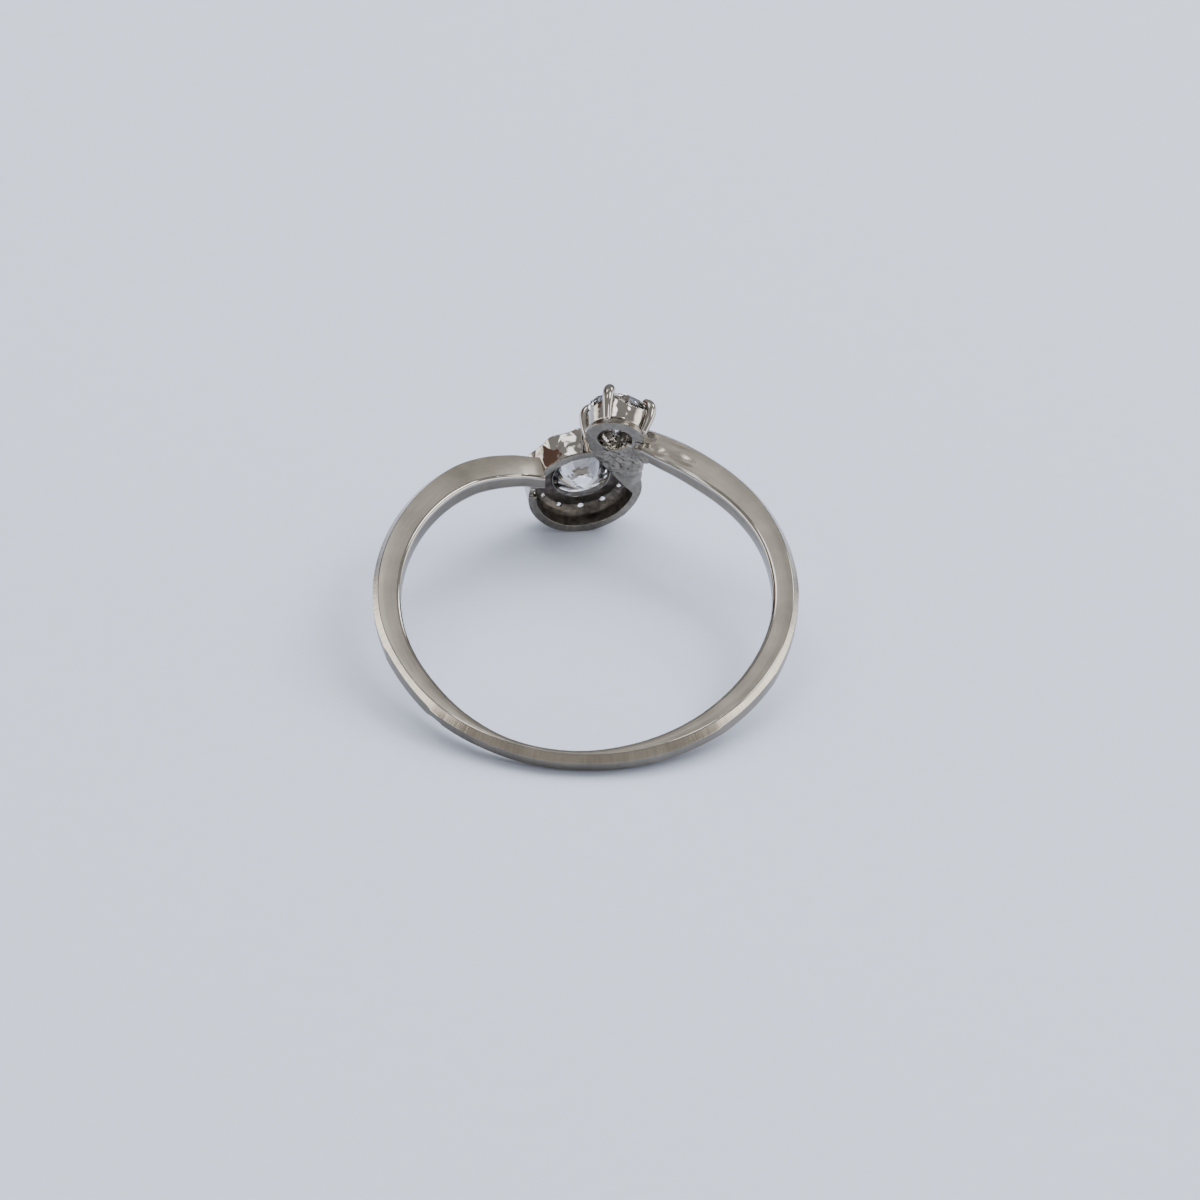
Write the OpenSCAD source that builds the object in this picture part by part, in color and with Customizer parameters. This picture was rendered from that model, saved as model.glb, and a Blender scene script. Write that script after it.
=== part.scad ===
// Bypass ring in white metal: a narrow shank whose two arms pass each other,
// the left one to a hollow-backed halo cluster, the right one to a small
// four-claw cup with a single round stone. It rests on its side, as laid down:
// the near edge of the shank and the lower edge of the halo touch the surface.
// Shapes are drawn in the ring's own frame (x across, y from the back of the
// shank to the heads, z along the finger) and then tilted to the resting pose.

/* [Finger] */
// Inside diameter of the ring
finger_d = 16.7; // [16.5:0.1:16.8]

/* [Shank] */
// Width of the shank along the finger
band_w = 1.05; // [1.0:0.05:1.15]
// Radius of the softened inner edges
inner_round = 0.2; // [0.14:0.02:0.22]
// How far the filed outer chamfer runs in from each side face
chamfer_w = 0.36; // [0.3:0.02:0.4]

/* [Halo cluster] */
// Outer diameter of the skirt at its back edge
skirt_d = 5.4; // [5.3:0.05:5.5]
// Thickness of the skirt's back rim
rim_t = 0.4; // [0.3:0.05:0.45]
// Depth of the hollow from the back edge to the plate that holds the stones
skirt_h = 1.1; // [1.0:0.05:1.2]
// Thickness of that plate
plate_t = 0.4; // [0.35:0.05:0.45]
// Diameter of the centre stone
centre_d = 2.9; // [2.7:0.1:2.9]
// Diameter of a small stone
halo_stone_d = 0.96; // [0.9:0.02:1.0]

/* [Small head] */
// Diameter of the single stone
solo_d = 2.8; // [2.6:0.1:2.9]
// Height of its girdle over the back of the base ring
solo_girdle_h = 1.62; // [1.56:0.02:1.7]
// Thickness of a claw
claw_d = 0.46; // [0.4:0.02:0.5]

/* [Stones] */
// Gap between each stone and its metal seat
seat_gap = 0.03; // [0.02:0.01:0.04]

/* [Hidden] */
halo_n = 12;

finger_r = finger_d / 2;
half_w = band_w / 2;
smooth = 96;
small_smooth = 32;

// Where the two heads sit in the ring's frame, and how they turn and dip
halo_at = [-0.30, 8.80, -2.88];
halo_turn = 12.4;
halo_dip = 3;
solo_at = [0.95, 8.80, 0.98];
solo_turn = -4;
solo_dip = -5.6;

// The shank, station by station from the left arm round the back to the right:
// [angle, thickness of the side face, depth of the chamfer, drift along the finger, width]
SHANK = [
    [105, 1.30, 0.16, -1.52, 0.85],
    [112, 1.36, 0.18, -1.06, 0.85],
    [120, 1.42, 0.20, -0.63, 0.90],
    [129, 1.36, 0.20, -0.19, 0.95],
    [140, 1.26, 0.20, 0.08, 1.00],
    [155, 1.18, 0.20, 0.20, band_w],
    [172, 1.12, 0.20, 0.18, band_w],
    [190, 1.04, 0.21, 0.08, band_w],
    [209, 0.84, 0.24, 0.00, band_w],
    [228, 0.75, 0.28, 0.00, band_w],
    [248, 0.63, 0.32, 0.00, band_w],
    [270, 0.57, 0.33, 0.00, band_w],
    [292, 0.57, 0.33, 0.00, band_w],
    [312, 0.64, 0.31, 0.00, band_w],
    [334, 0.75, 0.27, 0.00, band_w],
    [354, 0.90, 0.24, 0.00, band_w],
    [370, 1.06, 0.22, 0.00, band_w],
    [385, 1.24, 0.20, 0.01, 1.02],
    [400, 1.42, 0.20, 0.01, 0.97],
    [416, 1.57, 0.20, 0.04, 0.90],
    [427, 1.64, 0.20, 0.20, 0.78],
    [440, 1.66, 0.20, 0.41, 0.70]];
steps_per_row = 5;
back_row = 11;

// Catmull-Rom blend of four rows
function blend(a, b, c, d, t) =
    0.5 * (2 * b + (c - a) * t + (2 * a - 5 * b + 4 * c - d) * t * t
    + (3 * b - a - 3 * c + d) * t * t * t);

function smooth_rows(rows, n) = [
    for (i = [0:len(rows) - 2], k = [0:n - 1])
        blend(rows[max(i - 1, 0)], rows[i], rows[i + 1],
            rows[min(i + 2, len(rows) - 1)], k / n),
    rows[len(rows) - 1]];

// Solid swept through sections that all have the same count of points
module swept(sections) {
    n = len(sections[0]);
    last = len(sections) - 1;
    points = [for (s = sections, p = s) p];
    sides = [
        for (i = [0:last - 1], j = [0:n - 1])
            let (a = i * n + j, b = i * n + (j + 1) % n)
                each [[a, a + n, b], [b, a + n, b + n]]];
    caps = [
        [for (j = [0:n - 1]) j],
        [for (j = [n - 1:-1:0]) last * n + j]];
    polyhedron(points = points, faces = concat(sides, caps), convexity = 10);
}

// Outline of the shank in [radius, height]: softened inner corners, flat side
// faces and chamfered outer edges. Its inner side reaches in past the finger
// hole, which then cuts it clean, and stands off the hole by a hair where the
// left arm drops to the halo.
inner_reach = 0.2;
drop_from = -0.5;
drop_clear = 0.02;
corner_step = 30;

function shank_outline(wall, chamfer, drift, width) =
    let (
        out = finger_r + wall,
        half = width / 2,
        reach = drift > drop_from ? inner_reach : -drop_clear,
        soft = inner_round * width / band_w,
        slope = chamfer_w * width / band_w,
        corner = [for (a = [corner_step:corner_step:90])
            [finger_r + soft * (1 - cos(a)), half - soft * (1 - sin(a))]],
        upper = concat(
            [[finger_r - reach, half - soft - reach]],
            corner,
            [[out, half], [out + chamfer, half - slope]]))
    concat(upper, [for (i = [len(upper) - 1:-1:0]) [upper[i][0], -upper[i][1]]]);

module shank_blank() {
    swept([
        for (row = smooth_rows(SHANK, steps_per_row))
            [for (p = shank_outline(row[1], row[2], row[3], row[4]))
                [p[0] * cos(row[0]), p[0] * sin(row[0]), p[1] + row[3]]]]);
}

hole_half = 9;

module finger_hole() {
    translate([0, 0, -hole_half]) cylinder(h = 2 * hole_half, r = finger_r, $fn = smooth);
}

// Cut stones. Heights are shares of the diameter, measured from the girdle
crown_share = 0.15;
pavilion_share = 0.43;
girdle_share = 0.01;
table_share = 0.56;
small_table_share = 0.6;
low_share = 0.24;
cut_n = 8;
cut_turn = 360 / cut_n;

function ring_of(rad, h, turn) =
    [for (k = [0:cut_n - 1]) [rad * cos(cut_turn * k + turn), rad * sin(cut_turn * k + turn), h]];

// Round brilliant of 57 facets, from rings of eight points: table, stars,
// upper girdle (mains, halves), lower girdle (mains, halves), low points, culet
module brilliant(d) {
    r = d / 2;
    table_r = r * table_share;
    half = cut_turn / 2;
    crown = crown_share * d;
    pavilion = pavilion_share * d;
    g = girdle_share * d;
    star_r = (table_r * cos(half) + r) / 2;
    star_h = crown * (r - star_r * cos(half)) / (r - table_r);
    low_r = r * low_share;
    low_h = pavilion * (1 - low_r * cos(half) / r);
    points = concat(
        ring_of(table_r, g + crown, 0), ring_of(star_r, g + star_h, half),
        ring_of(r, g, 0), ring_of(r, g, half), ring_of(r, -g, 0), ring_of(r, -g, half),
        ring_of(low_r, -g - low_h, half), [[0, 0, -g - pavilion]]);
    function at(ring, k) = ring * cut_n + (k + cut_n) % cut_n;
    culet = 7 * cut_n;
    faces = concat(
        [[for (k = [cut_n - 1:-1:0]) k]],
        [for (k = [0:cut_n - 1]) each [
            [at(0, k), at(0, k + 1), at(1, k)],
            [at(0, k), at(1, k), at(2, k), at(1, k - 1)],
            [at(2, k), at(1, k), at(3, k)],
            [at(3, k), at(1, k), at(2, k + 1)],
            [at(2, k), at(3, k), at(5, k), at(4, k)],
            [at(3, k), at(2, k + 1), at(4, k + 1), at(5, k)],
            [at(4, k), at(5, k), at(6, k)],
            [at(5, k), at(4, k + 1), at(6, k)],
            [at(4, k), at(6, k), culet, at(6, k - 1)]]]);
    polyhedron(points = points, faces = faces, convexity = 4);
}

// Single cut: table, eight crown facets, girdle and eight pavilion facets
module single_cut(d) {
    r = d / 2;
    g = girdle_share * d;
    points = concat(
        ring_of(r * small_table_share, g + crown_share * d, 0),
        ring_of(r, g, 0), ring_of(r, -g, 0), [[0, 0, -g - pavilion_share * d]]);
    culet = 3 * cut_n;
    faces = concat(
        [[for (k = [cut_n - 1:-1:0]) k]],
        [for (k = [0:cut_n - 1]) let (n = (k + 1) % cut_n) each [
            [k, n, cut_n + n, cut_n + k],
            [cut_n + k, cut_n + n, 2 * cut_n + n, 2 * cut_n + k],
            [2 * cut_n + k, 2 * cut_n + n, culet]]]);
    polyhedron(points = points, faces = faces, convexity = 4);
}

// Room that a stone needs in its seat, gap included, open over the crown
room_table_share = 0.66;

module stone_room(d) {
    r = d / 2 + seat_gap;
    girdle = girdle_share * d + seat_gap;
    top = girdle + crown_share * d;
    rotate_extrude($fn = smooth)
        polygon([[0, -girdle - pavilion_share * d - seat_gap], [r, -girdle], [r, girdle],
            [r * room_table_share, top], [0, top]]);
}

// Puts a head's own frame (z out of its front, y up) into the ring's frame
module head_frame(place, turn, dip) {
    translate(place) rotate([90 + dip, 0, 180 + turn]) children();
}

module in_halo() {
    head_frame(halo_at, halo_turn, halo_dip) children();
}

module in_solo() {
    head_frame(solo_at, solo_turn, solo_dip) children();
}

// Halo sizes, measured forward from the back edge of its skirt
skirt_r = skirt_d / 2;
skirt_flare = 0.04;
front_h = skirt_h + plate_t;
halo_step = 360 / halo_n;
halo_ring_r = 2.12;
halo_girdle_h = front_h + 0.04;
centre_girdle_h = front_h;
// A lobe round each small stone swells out of the skirt towards the front
lobe_from = 0.3;
lobe_back_r = 0.52;
lobe_front_r = 0.74;
// Beads between the small stones, an outer and an inner row: [place, radius]
BEAD_ROWS = [[2.40, 0.20], [1.80, 0.14]];
bead_rise = 0.02;
culet_hole_r = 0.18;

module halo_body() {
    cylinder(h = front_h, r1 = skirt_r, r2 = skirt_r + skirt_flare, $fn = smooth);
    for (i = [0:halo_n - 1])
        rotate(i * halo_step) translate([halo_ring_r, 0, lobe_from])
            cylinder(h = front_h - lobe_from, r1 = lobe_back_r, r2 = lobe_front_r, $fn = small_smooth);
    for (i = [0:halo_n - 1], row = BEAD_ROWS)
        rotate((i + 0.5) * halo_step) translate([row[0], 0, front_h + bead_rise])
            sphere(r = row[1], $fn = small_smooth);
}

// The dark hollow behind the plate. Solder fills a chord of it on the side
// towards the small head
chord_at = 2.03;
chord_turn = 140;
cut_past = 0.1;

module halo_hollow() {
    inner = skirt_r - rim_t;
    difference() {
        translate([0, 0, -cut_past])
            cylinder(h = skirt_h + cut_past, r1 = inner, r2 = inner + skirt_flare, $fn = smooth);
        rotate(chord_turn) translate([chord_at, -skirt_r, -2 * cut_past])
            cube([skirt_r, skirt_d, front_h]);
    }
}

// A small pit in the back rim, where the left arm was soldered on
pit_turn = 9;
pit_r = 0.2;
pit_depth = 0.08;

module rim_pit() {
    rotate(pit_turn) translate([skirt_r - 1.5 * rim_t, 0, pit_depth]) rotate([0, 90, 0])
        cylinder(h = 1.2 * rim_t, r = pit_r, $fn = small_smooth);
}

// The centre stone's collet: the lip of its hole, a little proud of the plate's
// back, and four claws at the front
collet_lip = 0.07;
collet_r = centre_d / 2 + 0.01;
collet_hole_r = centre_d / 2 - 0.1;
centre_claws = 4;
centre_claw_r = 0.18;
centre_claw_at = centre_d / 2 + 0.15;
centre_claw_lean = 0.08;
centre_claw_over = 0.2;

module centre_collet() {
    claw_top = centre_girdle_h + centre_claw_over;
    translate([0, 0, skirt_h - collet_lip])
        cylinder(h = 2 * collet_lip, r = collet_r, $fn = smooth);
    for (i = [0:centre_claws - 1])
        rotate((i + 0.5) * 360 / centre_claws) {
            translate([centre_claw_at, 0, skirt_h + cut_past])
                cylinder(h = claw_top - skirt_h - cut_past, r = centre_claw_r, $fn = small_smooth);
            translate([centre_claw_at - centre_claw_lean, 0, claw_top])
                sphere(r = centre_claw_r, $fn = small_smooth);
        }
}

module centre_seat() {
    translate([0, 0, centre_girdle_h]) stone_room(centre_d);
    hole_top = centre_girdle_h - pavilion_share * (centre_d - 2 * collet_hole_r);
    translate([0, 0, skirt_h - 2 * cut_past])
        cylinder(h = hole_top - skirt_h + 2 * cut_past, r = collet_hole_r, $fn = smooth);
}

module halo_seats() {
    for (i = [0:halo_n - 1])
        rotate(i * halo_step) translate([halo_ring_r, 0, 0]) {
            translate([0, 0, halo_girdle_h]) stone_room(halo_stone_d);
            translate([0, 0, skirt_h - cut_past])
                cylinder(h = plate_t, r = culet_hole_r, $fn = small_smooth);
        }
}

// Solder filed flat between the halo's rim and the right arm
web_x = [0.3, 2.3];
web_y = [8.66, 9.7];
web_z = [-0.35, 0.2];
web_rim_x = [-2.45, -0.9];
web_rim_y = [0.9, 2.1];

module solder_web() {
    hull() {
        translate([web_x[0], web_y[0], web_z[0]])
            cube([web_x[1] - web_x[0], web_y[1] - web_y[0], web_z[1] - web_z[0]]);
        in_halo() translate([web_rim_x[0], web_rim_y[0], 0])
            cube([web_rim_x[1] - web_rim_x[0], web_rim_y[1] - web_rim_y[0], skirt_h]);
    }
}

// Small head: base ring, closed cup with a scalloped edge, and four claws
base_r = 1.36;
base_hole_r = 0.8;
base_h = 0.3;
cup_back_r = 1.24;
cup_front_r = solo_d / 2 + 0.06;
cup_edge_h = solo_girdle_h - 0.1;
scallop_r = 1.5;
scallop_dip = 0.34;
claws = 4;
claw_sides = 10;
claw_turn = 73;
claw_steps = 3;
claw_tip_share = 0.6;
// Path of a claw's middle: [radius, height]
CLAW = [
    [1.34, 0.26], [1.44, 0.60], [1.53, 0.95], [1.58, 1.28],
    [1.57, 1.55], [1.49, 1.78], [1.34, 1.91]];

module claw() {
    path = smooth_rows(CLAW, claw_steps);
    last = len(path) - 1;
    swept([
        for (i = [0:last])
            let (
                before = path[max(i - 1, 0)], after = path[min(i + 1, last)],
                along = (after - before) / norm(after - before),
                r = claw_d / 2 * (i == last ? claw_tip_share : 1))
            [for (k = [0:claw_sides - 1])
                let (a = k * 360 / claw_sides, u = r * cos(a))
                [path[i][0] + u * along[1], r * sin(a), path[i][1] - u * along[0]]]]);
}

module solo_cup() {
    difference() {
        translate([0, 0, base_h / 2])
            cylinder(h = cup_edge_h - base_h / 2, r1 = cup_back_r, r2 = cup_front_r, $fn = smooth);
        for (i = [0:1])
            rotate(claw_turn + (i + 0.5) * 90)
                translate([-2 * cup_front_r, 0, cup_edge_h + scallop_r - scallop_dip])
                    rotate([0, 90, 0]) cylinder(h = 4 * cup_front_r, r = scallop_r, $fn = smooth);
    }
}

module solo_body() {
    cylinder(h = base_h, r = base_r, $fn = smooth);
    solo_cup();
    for (i = [0:claws - 1]) rotate(i * 360 / claws + claw_turn) claw();
}

module solo_hollow() {
    translate([0, 0, solo_girdle_h]) stone_room(solo_d);
    hole_top = solo_girdle_h - pavilion_share * (solo_d - 2 * base_hole_r);
    translate([0, 0, -base_h]) cylinder(h = hole_top + base_h, r = base_hole_r, $fn = smooth);
}

// The resting pose: tilted until the near edge of the shank and the lowest
// point of the halo's back rim lie on the same level
near_r = finger_r + SHANK[back_row][1];
rim_low = [
    halo_at[1] - skirt_r * sin(halo_dip) * cos(halo_turn),
    halo_at[2] - skirt_r * cos(halo_dip)];
rest_tilt = atan2(-half_w - rim_low[1], rim_low[0] + near_r);
rest_lift = near_r * sin(rest_tilt) + half_w * cos(rest_tilt);
// Centres the resting ring over the origin: [x, y]
rest_shift = [0.05, -1.35];

module resting() {
    translate([rest_shift[0], rest_shift[1], rest_lift]) rotate([rest_tilt, 0, 0]) children();
}

module ring_metal() {
    color("silver") resting()
        difference() {
            union() {
                difference() {
                    union() {
                        shank_blank();
                        solder_web();
                        in_halo() halo_body();
                        in_solo() solo_body();
                    }
                    finger_hole();
                    in_halo() halo_hollow();
                    in_halo() rim_pit();
                    in_solo() solo_hollow();
                }
                in_halo() centre_collet();
            }
            in_halo() centre_seat();
            in_halo() halo_seats();
        }
}

module centre_stone() {
    color("white") resting() in_halo()
        translate([0, 0, centre_girdle_h]) brilliant(centre_d);
}

module solitaire_stone() {
    color("white") resting() in_solo()
        translate([0, 0, solo_girdle_h]) brilliant(solo_d);
}

module halo_stone(i) {
    color("white") resting() in_halo()
        rotate((i - 1) * halo_step) translate([halo_ring_r, 0, halo_girdle_h])
            single_cut(halo_stone_d);
}

ring_metal();
centre_stone();
solitaire_stone();
for (i = [1:halo_n])
    halo_stone(i);
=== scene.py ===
import math

import bmesh
import bpy
from mathutils import Matrix, Vector


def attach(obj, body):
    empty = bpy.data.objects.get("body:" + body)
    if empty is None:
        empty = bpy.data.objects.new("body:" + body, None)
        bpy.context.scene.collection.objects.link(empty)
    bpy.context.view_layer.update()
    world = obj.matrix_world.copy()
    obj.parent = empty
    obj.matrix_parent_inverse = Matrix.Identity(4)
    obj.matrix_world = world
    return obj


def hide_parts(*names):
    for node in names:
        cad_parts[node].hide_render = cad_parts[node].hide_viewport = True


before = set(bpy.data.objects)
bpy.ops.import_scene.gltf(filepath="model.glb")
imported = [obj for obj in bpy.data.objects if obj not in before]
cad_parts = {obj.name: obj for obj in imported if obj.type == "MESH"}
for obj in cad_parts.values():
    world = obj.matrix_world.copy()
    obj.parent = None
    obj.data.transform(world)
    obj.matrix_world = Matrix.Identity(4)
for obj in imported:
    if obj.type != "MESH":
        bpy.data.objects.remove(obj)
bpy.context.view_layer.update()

# Resting pose
# The ring is drawn in its own frame in millimetres, x across, y towards the
# heads and z along the finger, and then laid down as it rests on the table.
REST_TILT = math.radians(16.02934)
REST_PLACE = Vector((0.05, -1.35, 2.96766))
RING = (
    Matrix.Scale(0.001, 4)
    @ Matrix.Translation(REST_PLACE)
    @ Matrix.Rotation(REST_TILT, 4, "X")
)

# Camera
# A close view over the back of the shank, 36 degrees above the table, with a
# lens that takes in 54 mm at the ring's distance of 210 mm.
LOOK_DOWN = math.radians(51.61)
ROLL = math.radians(-2.4)
CAMERA_AWAY = 210.0
HALF_VIEW = 26.95
# It looks a little to the right of the ring's axis and below it, at the height of
# the shank's upper face
AIM_AT = Vector((0, 0, 0.525))
AIM_RIGHT, AIM_UP = 0.584, -0.2336

ahead = Vector((0, math.cos(LOOK_DOWN), -math.sin(LOOK_DOWN)))
level_up = Vector((0, math.sin(LOOK_DOWN), math.cos(LOOK_DOWN)))
right = math.cos(ROLL) * Vector((1, 0, 0)) - math.sin(ROLL) * level_up
up = math.sin(ROLL) * Vector((1, 0, 0)) + math.cos(ROLL) * level_up
stand = AIM_AT - CAMERA_AWAY * ahead + AIM_RIGHT * right + AIM_UP * up
turn = RING.to_3x3().normalized() @ Matrix((right, up, -ahead)).transposed()

bpy.ops.object.camera_add(location=RING @ stand, rotation=turn.to_euler())
camera = bpy.context.object
camera.data.angle = 2 * math.atan(HALF_VIEW / CAMERA_AWAY)
camera.data.clip_start = 0.01
bpy.context.scene.camera = camera

# Table and light
# A plain pale card, and soft studio light: a room that the metal mirrors, dark
# behind the ring and bright at its sides, and three soft boxes that only light
# the card and the stones.


def rgb(hex_colour):
    """Linear colour of an sRGB hex value."""
    parts = [int(hex_colour[i:i + 2], 16) / 255 for i in (0, 2, 4)]
    return tuple(
        c / 12.92 if c <= 0.04045 else ((c + 0.055) / 1.055) ** 2.4 for c in parts
    ) + (1.0,)


def add(tree, kind, inputs=None, **settings):
    """Adds a node, sets it up, and sets or links its inputs."""
    node = tree.nodes.new("ShaderNode" + kind)
    for name, value in settings.items():
        setattr(node, name, value)
    for key, value in (inputs or {}).items():
        if isinstance(value, bpy.types.NodeSocket):
            tree.links.new(value, node.inputs[key])
        else:
            node.inputs[key].default_value = value
    return node


def new_material(name):
    """An empty material: itself, its node tree and its output node."""
    material = bpy.data.materials.new(name)
    material.use_nodes = True
    material.node_tree.nodes.clear()
    return material, material.node_tree, add(material.node_tree, "OutputMaterial")


bpy.ops.object.select_all(action="DESELECT")
bpy.ops.mesh.primitive_plane_add(size=2)
table = bpy.context.object
table.name = "table"
card, tree, out = new_material("matt_white_card")
place = add(tree, "TexCoord").outputs["Object"]
# Paper fibres are finer than this, but would not show
FIBRES_PER_METRE = 900.0
fibre = add(tree, "TexNoise", {"Vector": place, "Scale": FIBRES_PER_METRE, "Detail": 3.0})
shade = add(tree, "MapRange", {
    "Value": fibre.outputs["Fac"], "From Min": 0.3, "From Max": 0.7,
    "To Min": 0.98, "To Max": 1.0})
CARD_COLOUR = "B3BBCE"
tone = add(tree, "HueSaturation", {
    "Color": rgb(CARD_COLOUR), "Value": shade.outputs["Result"]})
surface = add(tree, "BsdfPrincipled", {"Base Color": tone.outputs["Color"], "Roughness": 0.7})
tree.links.new(surface.outputs["BSDF"], out.inputs["Surface"])
table.data.materials.append(card)

# Light from the walls, and how far round and up each one fades into the next,
# as a share of the way along an axis
BACK_WALL, FRONT_WALL = (0.13, 0.105, 0.09, 1), (0.50, 0.45, 0.40, 1)
CEILING, SIDE_GLOW = (0.44, 0.43, 0.42, 1), (3.8, 3.6, 3.3, 1)
WALL_FADE, SIDE_FADE, CEILING_FADE = (0.6, -0.6), (0.72, 0.95), (0.16, 0.45)
# Round panels: (bearing from straight ahead, height, half width, all in
# degrees, brightness, colour)
PANELS = [
    (84, 50, 9, 7.0, "FFFFFF"), (49, 34, 7, 7.0, "FFFFFF"),
    (130, 48, 9, 7.0, "FFFFFF"), (-48, 60, 8, 4.0, "FFFFFF"),
    (-133, 38, 8, 5.0, "FFFFFF"), (-120, 78, 5, 5.0, "FFFFFF"),
    (0, 68, 7, 1.2, "FFFFFF"), (-60, 28, 13, 0.26, "E0B2A2")]
PANEL_EDGE = 2


def aim(bearing, height):
    """The direction at a bearing from straight ahead and a height, in degrees."""
    bearing, height = math.radians(bearing), math.radians(height)
    return Vector((
        math.sin(bearing) * math.cos(height), math.cos(bearing) * math.cos(height),
        math.sin(height)))


room = bpy.data.worlds.new("studio_room")
room.use_nodes = True
tree = room.node_tree
tree.nodes.clear()
direction = add(tree, "TexCoord").outputs["Generated"]
part = add(tree, "SeparateXYZ", {"Vector": direction}).outputs
aside = add(tree, "Math", {0: part["X"]}, operation="ABSOLUTE").outputs["Value"]
layers = [
    (part["Y"], WALL_FADE, FRONT_WALL), (aside, SIDE_FADE, SIDE_GLOW),
    (part["Z"], CEILING_FADE, CEILING)]
for bearing, height, half_width, brightness, colour in PANELS:
    near = add(
        tree, "VectorMath", {0: direction, 1: aim(bearing, height)}, operation="DOT_PRODUCT")
    fade = [math.cos(math.radians(half_width + soft)) for soft in (PANEL_EDGE, -PANEL_EDGE)]
    layers.append((near.outputs["Value"], fade, [brightness * c for c in rgb(colour)]))
view = BACK_WALL
for value, (start, end), colour in layers:
    share = add(tree, "MapRange", {
        "Value": value, "From Min": start, "From Max": end}, interpolation_type="SMOOTHSTEP")
    view = add(tree, "Mix", {
        0: share.outputs["Result"], 6: view, 7: colour}, data_type="RGBA").outputs[2]
light = add(tree, "Background", {"Color": view, "Strength": 1.0})
tree.links.new(light.outputs["Background"], add(tree, "OutputWorld").inputs["Surface"])
bpy.context.scene.world = room

# Soft boxes: (name, bearing from straight ahead, height in degrees, width,
# height and distance in metres, watts)
SOFT_BOXES = [
    ("top_box", 0, 74, 0.50, 0.50, 0.6, 3.6),
    ("right_box", 62, 48, 0.42, 0.30, 0.5, 3.0),
    ("left_box", -52, 46, 0.24, 0.20, 0.5, 0.35)]
for name, bearing, height, wide, tall, away, watts in SOFT_BOXES:
    spot = away * aim(bearing, height)
    bpy.ops.object.light_add(
        type="AREA", location=spot, rotation=spot.to_track_quat("Z", "Y").to_euler())
    box = bpy.context.object
    box.name = name
    box.data.shape = "RECTANGLE"
    box.data.size, box.data.size_y = wide, tall
    box.data.energy = watts
    box.visible_glossy = False

# White gold
# Rhodium-plated white gold: a bright, slightly warm grey metal. The same metal
# is left satin, brushed across or polished, and is oxidised in the hollow.
FINGER_R = 8.35
# Most of a noise lies between these values
NOISE_LOW, NOISE_HIGH = 0.35, 0.65
# Wear and tarnish change over about 1.7 mm, and make the metal darker or
# brighter, and smoother or rougher, by these shares
CLOUDS_PER_MM = 0.6
DULLED, CLEANED = 0.88, 1.12
SMOOTHER, ROUGHER = 0.92, 1.1
# A tool's dent is rubbed smoother, and scratches are 0.02 mm deep
RUBBED_ROUGHNESS = 0.22
SCRATCH_DEPTH = 0.00002


def metal(name, colour, roughness, bump, lay, mottle=0.05):
    """White gold with scratches. lay gives how close they lie along the ring,
    out from its axis and along the finger, per millimetre, and mottle how
    much darker or brighter they are."""
    material, tree, out = new_material(name)
    place = add(tree, "TexCoord").outputs["Object"]
    own = add(tree, "Mapping", {
        "Vector": place, "Location": REST_PLACE / 1000,
        "Rotation": (REST_TILT, 0, 0), "Scale": (0.001, 0.001, 0.001),
    }, vector_type="TEXTURE").outputs["Vector"]
    part = add(tree, "SeparateXYZ", {"Vector": own}).outputs
    # The angle is measured from the heads, so its seam is at the back of the shank
    angle = add(tree, "Math", {0: part["X"], 1: part["Y"]}, operation="ARCTAN2")
    arc = add(tree, "Math", {0: angle.outputs["Value"], 1: FINGER_R}, operation="MULTIPLY")
    flat = add(tree, "CombineXYZ", {"X": part["X"], "Y": part["Y"]})
    radius = add(tree, "VectorMath", {0: flat.outputs["Vector"]}, operation="LENGTH")
    along = add(tree, "CombineXYZ", {
        "X": arc.outputs["Value"], "Y": radius.outputs["Value"], "Z": part["Z"]})
    drawn = add(tree, "VectorMath", {0: along.outputs["Vector"], 1: lay}, operation="MULTIPLY")
    grain = add(tree, "TexNoise", {
        "Vector": drawn.outputs["Vector"], "Scale": 1.0, "Detail": 4.0, "Roughness": 0.6})
    cloud = add(tree, "TexNoise", {"Vector": own, "Scale": CLOUDS_PER_MM, "Detail": 4.0})
    rough, shade, film = (
        add(tree, "MapRange", {
            "Value": noise.outputs["Fac"], "From Min": NOISE_LOW, "From Max": NOISE_HIGH,
            "To Min": least, "To Max": most}).outputs["Result"]
        for noise, least, most in (
            (cloud, roughness * SMOOTHER, roughness * ROUGHER),
            (grain, 1 - mottle, 1 + mottle), (cloud, DULLED, CLEANED)))
    rubbed = add(tree, "Attribute", attribute_name="rubbed").outputs["Fac"]
    rough = add(tree, "Mix", {0: rubbed, 2: rough, 3: RUBBED_ROUGHNESS})
    relief = add(tree, "Bump", {
        "Strength": bump, "Distance": SCRATCH_DEPTH, "Height": grain.outputs["Fac"]})
    shade = add(tree, "Math", {0: shade, 1: film}, operation="MULTIPLY")
    tone = add(tree, "HueSaturation", {
        "Color": rgb(colour), "Value": shade.outputs["Value"]})
    surface = add(tree, "BsdfPrincipled", {
        "Base Color": tone.outputs["Color"], "Metallic": 1.0,
        "Roughness": rough.outputs[0], "Normal": relief.outputs["Normal"]})
    tree.links.new(surface.outputs["BSDF"], out.inputs["Surface"])
    return material


# Satin: rubbed along the ring with fine paper, so it is soft and has no glints
satin = metal(
    "satin_white_gold", "BCB6AB", roughness=0.33, bump=0.05, lay=(0.6, 9, 9))
# Brushed: lines across the strip, drawn 0.1 mm apart, coarser than real ones
crossbrushed = metal(
    "cross_brushed_white_gold", "B2ACA2", roughness=0.20, bump=0.5, lay=(9, 0.6, 0.6))
# Shade-darkened: the brushed strip's metal in a darker colour, painted shade for the shaded
# card that the strip and the bore's middle mirror
shade_darkened = metal(
    "shade_darkened_white_gold", "857F75", roughness=0.24, bump=0.3, lay=(9, 0.6, 0.6))
# Polished: it mirrors the room sharply
polished = metal(
    "polished_white_gold", "AEAAA4", roughness=0.06, bump=0.03, lay=(2, 2, 2))

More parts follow.
